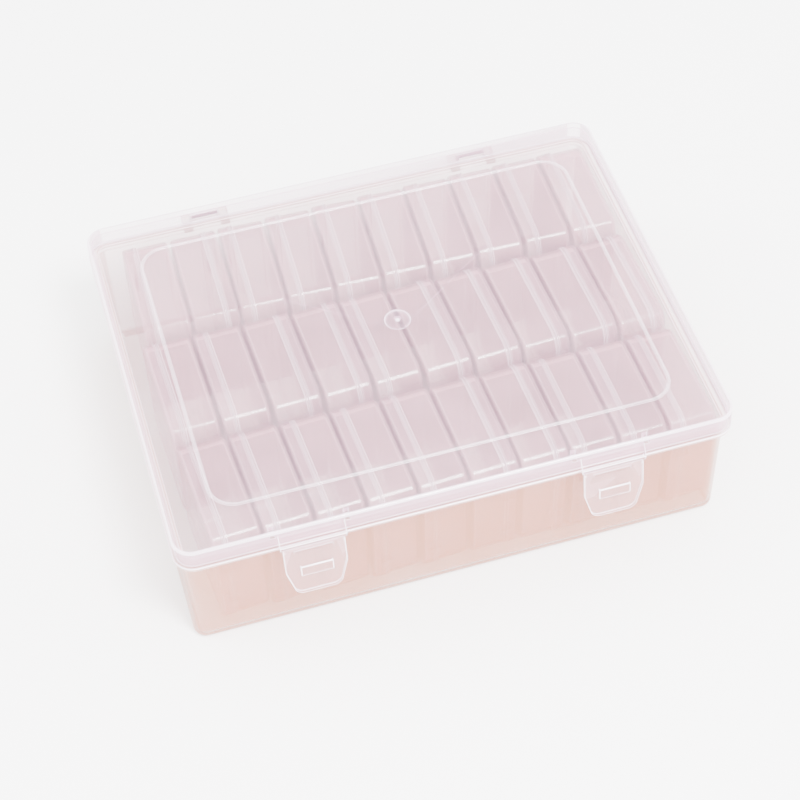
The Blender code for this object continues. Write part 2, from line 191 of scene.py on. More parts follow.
class SmallBoxSizes(bpy.types.PropertyGroup):
    """Sizes of the small clamshell boxes."""

    thickness: length("Thickness", 0.020, "Thickness of a small box with both halves")
    depth: length("Depth", 0.0547, "Depth of a small box from front to back")
    height: length("Height", 0.055, "Height of a small box as it stands")
    corner: length("Corner", 0.008, "Radius of a small box's rounded corners")
    wall: length("Wall", 0.001, "Thickness of a small box's wall")
    deep_half: length("Deep half", 0.0146, "Thickness of the deep half")
    mouth_gap: length("Mouth gap", 0.0003, "Gap between the halves")
    step: length("Step", 0.0005, "How far the deep half stays behind its flange")
    flange: length("Flange", 0.001, "Thickness of the deep half's flange")
    deep_fillet: length("Deep half fillet", 0.0014, "Radius of the deep half's outer edges")
    lid_fillet: length("Lid half fillet", 0.001, "Radius of the lid half's outer edges")
    lid_bead: length("Lid bead", 0.0009, "Width of the bead along the lid half's mouth")
    edge_radius: length("Edge radius", 0.00018, "Radius of the moulded edges")
    knuckle_place: length("Knuckle place", 0.0102, "Distance of a hinge knuckle from the middle")
    knuckle_height: length("Knuckle height", 0.005, "Height of a hinge knuckle")
    knuckle_reach: length("Knuckle reach", 0.0028, "How far a knuckle reaches from the mouth")
    knuckle_stand_out: length("Knuckle stand-out", 0.0005, "How far a knuckle or tab stands out")
    tab_height: length("Tab height", 0.008, "Height of the thumb tab")
    tab_reach: length("Tab reach", 0.0015, "Thickness of the thumb tab")


class PlasticLooks(bpy.types.PropertyGroup):
    """Colours of the plastic and how much of it each wall shows."""

    base_tint: colour("Base tint", (0.60, 0.22, 0.12), "Colour of the case base")
    lid_tint: colour("Lid tint", (0.80, 0.50, 0.66), "Colour of the lid")
    latch_tint: colour("Latch tint", (0.78, 0.48, 0.54), "Colour of the latches")
    deep_tint: colour("Deep half tint", (0.74, 0.38, 0.42), "Colour of the small boxes' deep halves")
    half_tint: colour("Lid half tint", (0.76, 0.40, 0.46), "Colour of the small boxes' lid halves")
    # Partly the whiter look of thicker milky plastic, partly a painted highlight for the light that the
    # rounded rims catch: moulded edges are mixed towards this tint.
    edge_highlight_tint: colour("Edge highlight tint", (0.97, 0.90, 0.98), "Colour that thick moulded edges turn to")
    base_veil: share("Base veil", 0.21, "How much a wall of the base hides")
    lid_veil: share("Lid veil", 0.055, "How much each face of the lid hides")
    latch_veil: share("Latch veil", 0.13, "How much each face of a latch hides")
    box_veil: share("Small box veil", 0.2, "How much a wall of a small box hides")
    edge_veil: share("Edge veil", 0.85, "How much a moulded edge hides")


class StageSettings(bpy.types.PropertyGroup):
    """The camera, the lights and the floor."""

    azimuth: angle("Azimuth", 15.14, "Turn of the camera from the front")
    elevation: angle("Elevation", 50.95, "Angle of the view below the horizon")
    roll: angle("Roll", -1.96, "Turn of the camera about its line of sight")
    distance: length("Distance", 0.89963, "Distance of the camera from the point it looks at")
    lens: bpy.props.FloatProperty(name="Lens", description="Focal length in millimetres", default=91.86,
                                  unit="CAMERA")
    sensor: bpy.props.FloatProperty(name="Sensor", description="Width of the sensor in millimetres",
                                    default=36, unit="CAMERA")
    near: length("Near limit", 0.01, "Distance from which the camera sees")
    aim_right: length("Aim right", 0.00214, "The point looked at, right of the case's middle")
    aim_back: length("Aim back", 0.00832, "The point looked at, behind the case's middle")
    floor_size: length("Floor size", 6.0, "Side of the floor")
    floor_tint: colour("Floor tint", (0.93, 0.93, 0.93), "Colour of the floor")
    floor_roughness: share("Floor roughness", 0.9, "Roughness of the floor")
    sky: bpy.props.FloatProperty(name="Sky", description="Strength of the light from all round", default=5.0,
                                 subtype="FACTOR")
    key: power("Key light", 120, "Power of the main lamp")
    key_size: length("Key light size", 0.5, "Side of the main lamp")
    key_place: offset("Key light place", (0.32, -0.87, 1.5), "Where the main lamp hangs")
    fill: power("Fill light", 30, "Power of the side lamp")
    fill_size: length("Fill light size", 0.8, "Side of the side lamp")
    fill_place: offset("Fill light place", (-1.5, 0.5, 0.9), "Where the side lamp hangs")


def rounded_profile(corners, steps=4, fade=FADE):
    """Profile points (out, up, edge) from corners of (out, up, radius, edge).

    Each rounded corner becomes an arc with its edge value, the strength of the painted edge highlight there,
    and the flats beside it fade to 0.
    The first and the last corner have no radius.
    """
    points = []
    for index, (out, up, radius, edge) in enumerate(corners):
        here = Vector((out, up))
        if radius == 0:
            points.append((out, up, edge))
            continue
        before = (Vector(corners[index - 1][:2]) - here).normalized()
        after = (Vector(corners[index + 1][:2]) - here).normalized()
        half_angle = before.angle(after) / 2
        reach = radius / math.tan(half_angle)
        centre = here + (before + after).normalized() * radius / math.sin(half_angle)
        start = here + before * reach
        end = here + after * reach
        points.append((*(start + before * fade), 0.0))
        for step in range(steps + 1):
            spoke = (start - centre).slerp(end - centre, step / steps) * radius
            points.append((*(centre + spoke), edge))
        points.append((*(end + after * fade), 0.0))
    return points


def edge_layer(bm):
    """The value on each face that says how much of a moulded edge it is, and so how strongly the painted
    edge highlight whitens it.
    """
    return bm.faces.layers.float.get("edge") or bm.faces.layers.float.new("edge")


def drawn(bm, profile, place):
    """The vertices and edges of a profile of (out, up, edge) points at a place, in the XZ plane."""
    value = bm.verts.layers.float.get("edge value") or bm.verts.layers.float.new("edge value")
    verts = []
    for out, up, edge in profile:
        vert = bm.verts.new(Vector(place) + Vector((out, 0, up)))
        vert[value] = edge
        verts.append(vert)
    return verts, [bm.edges.new(pair) for pair in zip(verts, verts[1:])]


def mark_faces(bm):
    """Give each face the mean of its vertices' edge values, which are then dropped."""
    layer = edge_layer(bm)
    value = bm.verts.layers.float["edge value"]
    for face in bm.faces:
        face[layer] = sum(vert[value] for vert in face.verts) / len(face.verts)
    bm.verts.layers.float.remove(value)


def swept(bm, profile, half_x, half_y, corner, steps=14):
    """Carry a profile of (out, up, edge) points round a rounded rectangle, by extrudes and quarter spins."""
    run_x = half_x - corner
    run_y = half_y - corner
    verts, edges = drawn(bm, profile, (half_x, -run_y, 0))
    everything = list(verts)
    sides = (((0, 2 * run_y, 0), (run_x, run_y, 0)), ((-2 * run_x, 0, 0), (-run_x, run_y, 0)),
             ((0, -2 * run_y, 0), (-run_x, -run_y, 0)), ((2 * run_x, 0, 0), (run_x, -run_y, 0)))
    for run, centre in sides:
        grown = bmesh.ops.extrude_edge_only(bm, edges=edges)["geom"]
        verts = [item for item in grown if isinstance(item, bmesh.types.BMVert)]
        bmesh.ops.translate(bm, verts=verts, vec=run)
        fresh = set(verts)
        edges = [item for item in grown
                 if isinstance(item, bmesh.types.BMEdge) and fresh.issuperset(item.verts)]
        known = set(bm.verts)
        turned = bmesh.ops.spin(bm, geom=verts + edges, cent=centre, axis=(0, 0, 1), angle=math.pi / 2,
                                steps=steps, use_merge=False)["geom_last"]
        edges = [item for item in turned if isinstance(item, bmesh.types.BMEdge)]
        everything += verts + [vert for vert in bm.verts if vert not in known]
    bmesh.ops.remove_doubles(bm, verts=everything, dist=WELD)


def open_loops(bm):
    """The open loops of a mesh as lists of edges, the widest first."""
    left = {edge: True for edge in bm.edges if edge.is_boundary}
    loops = []
    while left:
        loop = [left.popitem()[0]]
        for edge in loop:
            for vert in edge.verts:
                for other in vert.link_edges:
                    if other in left:
                        left.pop(other)
                        loop.append(other)
        loops.append(loop)
    return sorted(loops, key=lambda loop: -max(abs(vert.co.x) for edge in loop for vert in edge.verts))


def fill(bm, loops):
    """Close open loops with a flat face each."""
    for loop in loops:
        bmesh.ops.holes_fill(bm, edges=loop, sides=0)


def soft_edges(bm, radius, steps=2, edge=1.0):
    """Round every edge of a solid, and mark the rounded stretches as moulded edges that get the painted edge
    highlight.
    """
    layer = edge_layer(bm)
    sharp = [item for item in bm.edges if item.is_manifold and item.calc_face_angle(0) > SHARP_ANGLE]
    rounded = bmesh.ops.bevel(bm, geom=sharp, offset=radius, offset_type="OFFSET", segments=steps,
                              profile=0.5, affect="EDGES", material=-1, clamp_overlap=True)
    for face in rounded["faces"]:
        face[layer] = edge


def side_solid(outline, x_from, x_to):
    """A bmesh of a side outline of (y, z) points, extruded along X."""
    bm = bmesh.new()
    face = bm.faces.new([bm.verts.new((x_from, y, z)) for y, z in outline])
    grown = bmesh.ops.extrude_face_region(bm, geom=[face])["geom"]
    verts = [item for item in grown if isinstance(item, bmesh.types.BMVert)]
    bmesh.ops.translate(bm, verts=verts, vec=(x_to - x_from, 0, 0))
    bmesh.ops.recalc_face_normals(bm, faces=bm.faces)
    return bm


def block(low, high):
    """A bmesh of a block between two corners."""
    low = Vector(low)
    high = Vector(high)
    bm = bmesh.new()
    bmesh.ops.create_cube(bm, size=1)
    bmesh.ops.scale(bm, verts=bm.verts, vec=high - low)
    bmesh.ops.translate(bm, verts=bm.verts, vec=(low + high) / 2)
    return bm


def rod(radius, x_from, x_to, centre_y, centre_z, segments=40):
    """A bmesh of a round rod along X."""
    bm = bmesh.new()
    turn = Matrix.Rotation(math.pi / 2, 4, "Y")
    place = Matrix.Translation(((x_from + x_to) / 2, centre_y, centre_z)) @ turn
    bmesh.ops.create_cone(bm, cap_ends=True, segments=segments, radius1=radius, radius2=radius,
                          depth=x_to - x_from, matrix=place)
    return bm


def face_out(bm):
    """Turn the faces of one closed shell outwards."""
    bmesh.ops.recalc_face_normals(bm, faces=bm.faces)
    if bm.calc_volume(signed=True) < 0:
        bmesh.ops.reverse_faces(bm, faces=bm.faces)


def join_bmesh(target, source):
    """Add one closed shell to a bmesh, with its edge values, and free it."""
    holder = bpy.data.meshes.new("holder")
    edge_layer(source)
    face_out(source)
    source.to_mesh(holder)
    source.free()
    target.from_mesh(holder)
    bpy.data.meshes.remove(holder)


def to_mesh(bm, name):
    """A smooth-shaded mesh of a bmesh, which is freed."""
    mesh = bpy.data.meshes.new(name)
    bm.to_mesh(mesh)
    bm.free()
    mesh.shade_smooth()
    mesh.set_sharp_from_angle(angle=SMOOTH_ANGLE)
    return mesh


def merged(name, body, joined=(), cut=()):
    """The body's bmesh with others joined to it and cut out of it, as one mesh."""
    face_out(body)
    body_object = bpy.data.objects.new(name, to_mesh(body, name))
    bpy.context.scene.collection.objects.link(body_object)
    tools = []
    for operation, pieces in (("UNION", joined), ("DIFFERENCE", cut)):
        for piece in pieces:
            face_out(piece)
            tool = bpy.data.objects.new(f"{name}_tool", to_mesh(piece, f"{name}_tool"))
            bpy.context.scene.collection.objects.link(tool)
            modifier = body_object.modifiers.new("merge", "BOOLEAN")
            modifier.operation = operation
            modifier.solver = "EXACT"
            modifier.object = tool
            tools.append(tool)
    bpy.context.view_layer.update()
    evaluated = body_object.evaluated_get(bpy.context.evaluated_depsgraph_get())
    mesh = bpy.data.meshes.new_from_object(evaluated)
    mesh.name = name
    for item in (body_object, *tools):
        bpy.data.objects.remove(item)
    mesh.set_sharp_from_angle(angle=SMOOTH_ANGLE)
    return mesh


def add_piece(name, mesh, material, body, node):
    """Link a finished piece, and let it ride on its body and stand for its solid."""
    piece = bpy.data.objects.new(name, mesh)
    bpy.context.scene.collection.objects.link(piece)
    if not mesh.materials:
        mesh.materials.append(material)
    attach(piece, body)
    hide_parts(node)
    return piece


def plastic_group():
    """The node group of milky moulded plastic: clouding, fine scuffs, and a painted highlight that turns the
    moulded edges whiter and more opaque.
    """
    name = "Milky plastic"
    if name in bpy.data.node_groups:
        return bpy.data.node_groups[name]
    group = bpy.data.node_groups.new(name, "ShaderNodeTree")
    for label, kind in (("Tint", "NodeSocketColor"), ("Edge Tint", "NodeSocketColor"),
                        ("Veil", "NodeSocketFloat"), ("Edge Veil", "NodeSocketFloat"),
                        ("Roughness", "NodeSocketFloat"), ("Cloud Scale", "NodeSocketFloat")):
        group.interface.new_socket(name=label, in_out="INPUT", socket_type=kind)
    for label, kind in (("Color", "NodeSocketColor"), ("Alpha", "NodeSocketFloat"),
                        ("Roughness", "NodeSocketFloat"), ("Height", "NodeSocketFloat")):
        group.interface.new_socket(name=label, in_out="OUTPUT", socket_type=kind)
    nodes = group.nodes
    link = group.links.new
    inputs = nodes.new("NodeGroupInput")
    outputs = nodes.new("NodeGroupOutput")
    place = nodes.new("ShaderNodeTexCoord")
    edge = nodes.new("ShaderNodeAttribute")
    edge.attribute_name = "edge"

    cloud = nodes.new("ShaderNodeTexNoise")
    cloud.inputs["Detail"].default_value = 3
    cloud.inputs["Roughness"].default_value = 0.45
    link(place.outputs["Object"], cloud.inputs["Vector"])
    link(inputs.outputs["Cloud Scale"], cloud.inputs["Scale"])
    clouding = nodes.new("ShaderNodeMapRange")
    clouding.inputs["From Min"].default_value = 0.3
    clouding.inputs["From Max"].default_value = 0.7
    clouding.inputs["To Min"].default_value = 0.82
    clouding.inputs["To Max"].default_value = 1.18
    link(cloud.outputs["Fac"], clouding.inputs["Value"])

    scuffs = nodes.new("ShaderNodeTexNoise")
    scuffs.inputs["Scale"].default_value = 900
    scuffs.inputs["Detail"].default_value = 5
    stretch = nodes.new("ShaderNodeMapping")
    stretch.inputs["Scale"].default_value = (1, 0.25, 1)
    stretch.inputs["Rotation"].default_value = (0, 0, 0.6)
    link(place.outputs["Object"], stretch.inputs["Vector"])
    link(stretch.outputs["Vector"], scuffs.inputs["Vector"])

    # Painted highlight: faces on moulded edges are mixed from the tint towards the whiter edge highlight
    # tint, by their edge value.
    tint = nodes.new("ShaderNodeMix")
    tint.data_type = "RGBA"
    link(edge.outputs["Fac"], tint.inputs["Factor"])
    link(inputs.outputs["Tint"], tint.inputs["A"])
    link(inputs.outputs["Edge Tint"], tint.inputs["B"])
    link(tint.outputs["Result"], outputs.inputs["Color"])

    veil = nodes.new("ShaderNodeMath")
    veil.operation = "MULTIPLY"
    link(inputs.outputs["Veil"], veil.inputs[0])
    link(clouding.outputs["Result"], veil.inputs[1])
    whole_veil = nodes.new("ShaderNodeMix")
    link(edge.outputs["Fac"], whole_veil.inputs["Factor"])
    link(veil.outputs["Value"], whole_veil.inputs["A"])
    link(inputs.outputs["Edge Veil"], whole_veil.inputs["B"])
    link(whole_veil.outputs["Result"], outputs.inputs["Alpha"])

    sheen = nodes.new("ShaderNodeMath")
    sheen.operation = "MULTIPLY"
    link(inputs.outputs["Roughness"], sheen.inputs[0])
    link(clouding.outputs["Result"], sheen.inputs[1])
    link(sheen.outputs["Value"], outputs.inputs["Roughness"])
    link(scuffs.outputs["Fac"], outputs.inputs["Height"])
    return group


def plastic(name, tint, veil, looks, roughness=0.16, cloud_scale=26, grazing=0.35):
    """A clear milky plastic. A wall hides more of what is behind it where it is seen at a slant."""
    if name in bpy.data.materials:
        return bpy.data.materials[name]
    material = bpy.data.materials.new(name)
    material.use_nodes = True
    nodes = material.node_tree.nodes
    link = material.node_tree.links.new
    shader = nodes["Principled BSDF"]
    group = nodes.new("ShaderNodeGroup")
    group.node_tree = plastic_group()
    group.inputs["Tint"].default_value = (*tint, 1)
    # Painted highlight: the whiter tint that the moulded edges are mixed towards.
    group.inputs["Edge Tint"].default_value = (*looks.edge_highlight_tint, 1)
    group.inputs["Veil"].default_value = veil
    group.inputs["Edge Veil"].default_value = looks.edge_veil
    group.inputs["Roughness"].default_value = roughness
    group.inputs["Cloud Scale"].default_value = cloud_scale
    link(group.outputs["Color"], shader.inputs["Base Color"])
    link(group.outputs["Roughness"], shader.inputs["Roughness"])
    bump = nodes.new("ShaderNodeBump")
    bump.inputs["Strength"].default_value = 0.06
    bump.inputs["Distance"].default_value = 0.0002
    link(group.outputs["Height"], bump.inputs["Height"])
    link(bump.outputs["Normal"], shader.inputs["Normal"])
    slant = nodes.new("ShaderNodeLayerWeight")
    slant.inputs["Blend"].default_value = 0.25
    total = nodes.new("ShaderNodeMath")
    total.operation = "MULTIPLY_ADD"
    total.use_clamp = True
    total.inputs[1].default_value = grazing
    link(slant.outputs["Fresnel"], total.inputs[0])
    link(group.outputs["Alpha"], total.inputs[2])
    link(total.outputs["Value"], shader.inputs["Alpha"])
    shader.inputs["IOR"].default_value = 1.49
    shader.inputs["Specular IOR Level"].default_value = 0.9
    shader.inputs["Coat Weight"].default_value = 0.5
    shader.inputs["Coat Roughness"].default_value = 0.06
    return material


def latch_joint(side):
    """Where a latch's hinge axis is."""
    name = f"latch_{side}_hinge"
    return Vector(next(joint for joint in frame["joints"] if joint["name"] == name)["pos_m"])


def hinge_eye_outline(sizes, web, root_y, steps=36):
    """Side outline of a hinge eye with a web to root_y, above the parting plane (web 1) or below it (-1)."""
    web_start = math.asin(sizes.running_gap / sizes.eye_radius)
    turn = 3 * math.pi / 2 + web_start
    outline = []
    for step in range(steps + 1):
        bearing = math.pi / 2 - turn * step / steps
        outline.append((HINGE_AXIS.y + sizes.eye_radius * math.cos(bearing),
                        HINGE_AXIS.z + web * sizes.eye_radius * math.sin(bearing)))
    inner_z = HINGE_AXIS.z + web * sizes.eye_radius * math.sin(web_start)
    return outline + [(root_y, inner_z), (root_y, HINGE_AXIS.z + web * sizes.eye_radius)]


def gate_mark(bm, radius, depth, top):
    """The round mark where the lid was filled: a sunk ring round a shallow dome with a nub."""
    # The third number of each share is its edge value: the ring's rim and the nub are painted with the
    # whiter edge highlight.
    shares = ((1.04, 0, 0), (1, 0, 0.9), (0.93, -1, 0.5), (0.8, -1, 0), (0.5, -0.75, 0), (0.2, -0.7, 0),
              (0.15, -0.2, 1), (0.08, 0, 1), (0, 0, 1))
    known = set(bm.verts)
    profile = [(radius * out, depth * up, edge) for out, up, edge in shares]
    verts, edges = drawn(bm, profile, (0, 0, top))
    bmesh.ops.spin(bm, geom=verts + edges, cent=(0, 0, 0), axis=(0, 0, 1), angle=2 * math.pi, steps=48,
                   use_merge=True)
    bmesh.ops.remove_doubles(bm, verts=[vert for vert in bm.verts if vert not in known], dist=WELD)


class STORAGE_OT_case_base(bpy.types.Operator):
    """Build the case base: wall, floor, rim flange, locating rim and hinge ears"""

    bl_idname = "storage.case_base"
    bl_label = "Case base"

    def execute(self, context):
        case = context.scene.case_sizes
        hinge = context.scene.hinge_sizes
        looks = context.scene.plastic_looks
        rim_top = LID_HIGH[2] - case.line_height - case.lid_height - case.parting_gap
        rim_bottom = rim_top - case.rim_thickness
        locating_top = rim_top + case.locating_rim
        half_x = BASE_HIGH[0] - case.rim_overhang
        half_y = -BASE_LOW[1] - case.rim_overhang
        corner = case.rim_corner - case.rim_overhang
        round_edge = case.edge_radius
        profile = rounded_profile((
            (-corner, 0, 0, 0),
            (0, 0, case.foot_fillet, 0.12),
            (0, rim_bottom, round_edge, 0.6),
            (case.rim_overhang, rim_bottom, round_edge, 1),
            (case.rim_overhang, rim_top, round_edge, 1),
            (0, rim_top, round_edge, 0.5),
            (0, locating_top, round_edge, 0.8),
            (-case.base_wall, locating_top, round_edge, 0.8),
            (-case.base_wall, case.base_floor, case.foot_fillet - case.base_wall, 0.12),
            (-corner, case.base_floor, 0, 0),
        ))
        bm = bmesh.new()
        swept(bm, profile, half_x, half_y, corner)
        fill(bm, open_loops(bm))
        mark_faces(bm)
        face_out(bm)
        for side in SIDES:
            centre = latch_joint(side).x
            gap = hinge.knuckle_width / 2 + hinge.running_gap
            for ear in (-1, 1):
                near = centre + ear * gap
                far = near + ear * hinge.ear_width
                outline = hinge_eye_outline(hinge, -1, half_y)
                eye = side_solid(outline, min(near, far), max(near, far))
                soft_edges(eye, round_edge / 2)
                join_bmesh(bm, eye)
            pin = rod(hinge.pin_radius, centre - gap, centre + gap, HINGE_AXIS.y, HINGE_AXIS.z)
            join_bmesh(bm, pin)
        material = plastic("Base plastic", looks.base_tint, looks.base_veil, looks, roughness=0.2)
        add_piece("base_tray", to_mesh(bm, "base_tray"), material, "case", "case_base")
        return {"FINISHED"}


class STORAGE_OT_case_lid(bpy.types.Operator):
    """Build the lid: skirt, top with its raised line and gate mark, ribs, latch straps and hinge knuckles"""

    bl_idname = "storage.case_lid"
    bl_label = "Case lid"

    def execute(self, context):
        case = context.scene.case_sizes
        hinge = context.scene.hinge_sizes
        latch = context.scene.latch_sizes
        looks = context.scene.plastic_looks
        top = LID_HIGH[2] - case.line_height
        bottom = top - case.lid_height
        ceiling = top - case.lid_wall
        half_x = LID_HIGH[0]
        half_y = -BASE_LOW[1]
        round_edge = case.edge_radius
        inset = case.rim_corner * LID_CAP_SHARE
        inner = case.lid_wall + case.lid_draft
        bm = bmesh.new()
        swept(bm, rounded_profile((
            (-inset, ceiling, 0, 0),
            (-inner, ceiling, case.lid_fillet, 0.2),
            (-case.lid_wall, bottom, round_edge, 0.8),
            (0, bottom, round_edge, 1),
            (-case.lid_draft, top, case.lid_fillet, 0.75),
            (-inset, top, 0, 0),
        )), half_x, half_y, case.rim_corner)
        fill(bm, [min(open_loops(bm), key=lambda loop: loop[0].verts[0].co.z)])

        line_x = half_x - case.line_side
        line_y = half_y - (case.line_front + case.line_back) / 2
        known = set(bm.verts)
        swept(bm, rounded_profile((
            (case.line_width, top, 0, 0),
            (0, top, round_edge, 0.6),
            (-case.line_width / 3, top + case.line_height, round_edge / 2, 1),
            (-case.line_width * 2 / 3, top + case.line_height, round_edge / 2, 1),
            (-case.line_width, top, round_edge, 0.6),
            (-2 * case.line_width, top, 0, 0),
        ), fade=LINE_FADE), line_x, line_y, case.line_corner)
        line_verts = [vert for vert in bm.verts if vert not in known]
        bmesh.ops.translate(bm, verts=line_verts, vec=(0, (case.line_front - case.line_back) / 2, 0))
        loops = open_loops(bm)
        bmesh.ops.bridge_loops(bm, edges=loops[0] + loops[1])
        gate_mark(bm, case.gate_radius, case.gate_depth, top)
        loops = open_loops(bm)
        bmesh.ops.bridge_loops(bm, edges=loops[0] + loops[1])
        mark_faces(bm)

        joined = []
        cut = []
        root_y = -half_y + case.lid_wall / 2
        for side in SIDES:
            axis = latch_joint(side)
            half_knuckle = hinge.knuckle_width / 2
            outline = hinge_eye_outline(hinge, 1, half_y - case.lid_wall / 2)
            knuckle = side_solid(outline, axis.x - half_knuckle, axis.x + half_knuckle)
            soft_edges(knuckle, round_edge / 2)
            joined.append(knuckle)
            cut.append(rod(hinge.pin_radius + hinge.running_gap, axis.x - hinge.knuckle_width,
                           axis.x + hinge.knuckle_width, HINGE_AXIS.y, HINGE_AXIS.z))
            strap_bottom = axis.z + latch.thickness / 2 + case.parting_gap
            face_y = axis.y - latch.thickness / 2
            face_top = strap_bottom + latch.strap_face
            slope = (top - latch.strap_top - face_top) / (-half_y + case.lid_draft - face_y)
            strap = side_solid([(root_y, strap_bottom), (face_y, strap_bottom), (face_y, face_top),
                                (root_y, face_top + slope * (root_y - face_y))],
                               axis.x - latch.strap_width / 2, axis.x + latch.strap_width / 2)
            soft_edges(strap, round_edge)
            joined.append(strap)
            for rib_side in (-1, 1):
                rib_x = axis.x + rib_side * case.rib_spread
                rib = block((rib_x - case.rib_width / 2, root_y, ceiling - case.rib_height),
                            (rib_x + case.rib_width / 2, -half_y + case.lid_wall + case.rib_depth,
                             ceiling + case.lid_wall / 2))
                soft_edges(rib, round_edge)
                joined.append(rib)
        mesh = merged("lid_cap", bm, joined, cut)
        material = plastic("Lid plastic", looks.lid_tint, looks.lid_veil, looks, roughness=0.12, grazing=0.5)
        add_piece("lid_cap", mesh, material, "lid", "case_lid")
        return {"FINISHED"}


class STORAGE_OT_latches(bpy.types.Operator):
    """Build the two latch flaps with their border, finger rib, barrel and catch"""

    bl_idname = "storage.latches"
    bl_label = "Latches"

    def execute(self, context):
        sizes = context.scene.latch_sizes
        case = context.scene.case_sizes
        looks = context.scene.plastic_looks
        material = plastic("Latch plastic", looks.latch_tint, looks.latch_veil, looks, roughness=0.18)
        for side in SIDES:
            axis = latch_joint(side)
            mesh = self.flap(sizes, case, axis)
            mesh.transform(Matrix.Rotation(-sizes.flare, 4, "X"))
            mesh.transform(Matrix.Translation(axis))
            latch = f"latch_{side}"
            add_piece(f"latch_flap_{side}", mesh, material, latch, latch)
        return {"FINISHED"}

    def flap(self, sizes, case, axis):
        """One flap about its hinge axis, hanging straight down."""
        top = sizes.width / 2
        foot = sizes.foot_width / 2
        waist = -sizes.drop * sizes.waist
        slope = Vector((top - foot, waist + sizes.drop)).normalized() * sizes.corner
        right = [(top, 0), (top, waist)]
        right += [(foot + slope.x, slope.y - sizes.drop), (foot - sizes.corner, -sizes.drop)]
        outline = right + [(-x, z) for x, z in reversed(right)]
        half = sizes.thickness / 2
        plate = bmesh.new()
        face = plate.faces.new([plate.verts.new((x, half, z)) for x, z in outline])
        foot_corners = [vert for vert in face.verts if vert.co.z < waist]
        bmesh.ops.bevel(plate, geom=foot_corners, offset=sizes.corner / 2, segments=4, profile=0.5,
                        affect="VERTICES", material=-1)
        grown = bmesh.ops.extrude_face_region(plate, geom=plate.faces[:])["geom"]
        front = [item for item in grown if isinstance(item, bmesh.types.BMFace)]
        verts = [item for item in grown if isinstance(item, bmesh.types.BMVert)]
        bmesh.ops.translate(plate, verts=verts, vec=(0, -sizes.thickness, 0))
        bmesh.ops.inset_region(plate, faces=front, thickness=sizes.border, use_even_offset=True)
        bmesh.ops.translate(plate, verts=list({vert for item in front for vert in item.verts}),
                            vec=(0, sizes.border_height, 0))
        bmesh.ops.recalc_face_normals(plate, faces=plate.faces)
        soft_edges(plate, case.edge_radius)

        barrel_end = top - case.edge_radius
        barrel = rod(half * sizes.barrel, -barrel_end, barrel_end, 0, 0)
        grip_bottom = -sizes.grip_from_hinge - sizes.grip_height
        grip = block((-sizes.grip_width / 2, -half - sizes.grip_stand_out, grip_bottom),
                     (sizes.grip_width / 2, 0, -sizes.grip_from_hinge))
        soft_edges(grip, sizes.grip_stand_out / 2, steps=3)
        reach = BASE_LOW[1] - axis.y - case.parting_gap
        tip = (reach + sizes.catch_from_hinge * math.sin(sizes.flare)) / math.cos(sizes.flare)
        catch = block((-sizes.catch_width / 2, 0, -sizes.catch_from_hinge - sizes.catch_height),
                      (sizes.catch_width / 2, tip, -sizes.catch_from_hinge))
        soft_edges(catch, case.edge_radius)
        return merged("latch_flap", plate, (barrel, grip, catch))


def solid_place(node, outward):
    """A small box's thickness, depth and height axes and the middle of its solid's widest outer face.

    outward is 1 where that face is the lid half's, and -1 where it is the deep half's.
    """
    polygons = frame["nodes"][node].data.polygons
    widest = max(polygons, key=lambda polygon: polygon.area)
    ends = []
    for normal in (widest.normal, -widest.normal):
        facing = [polygon for polygon in polygons if polygon.normal.dot(normal) > FACING]
        end = max(polygon.center.dot(normal) for polygon in facing)
        cover = [polygon for polygon in facing if polygon.center.dot(normal) > end - FLAT]
        area = sum(polygon.area for polygon in cover)
        centre = sum((polygon.center * polygon.area for polygon in cover), Vector()) / area
        ends.append((area, normal, centre))
    normal, centre = max(ends, key=lambda end: end[0])[1:]
    across = normal * outward
    upright = Vector((0, 0, math.copysign(1, across.x)))
    return across, upright.cross(across), upright, centre


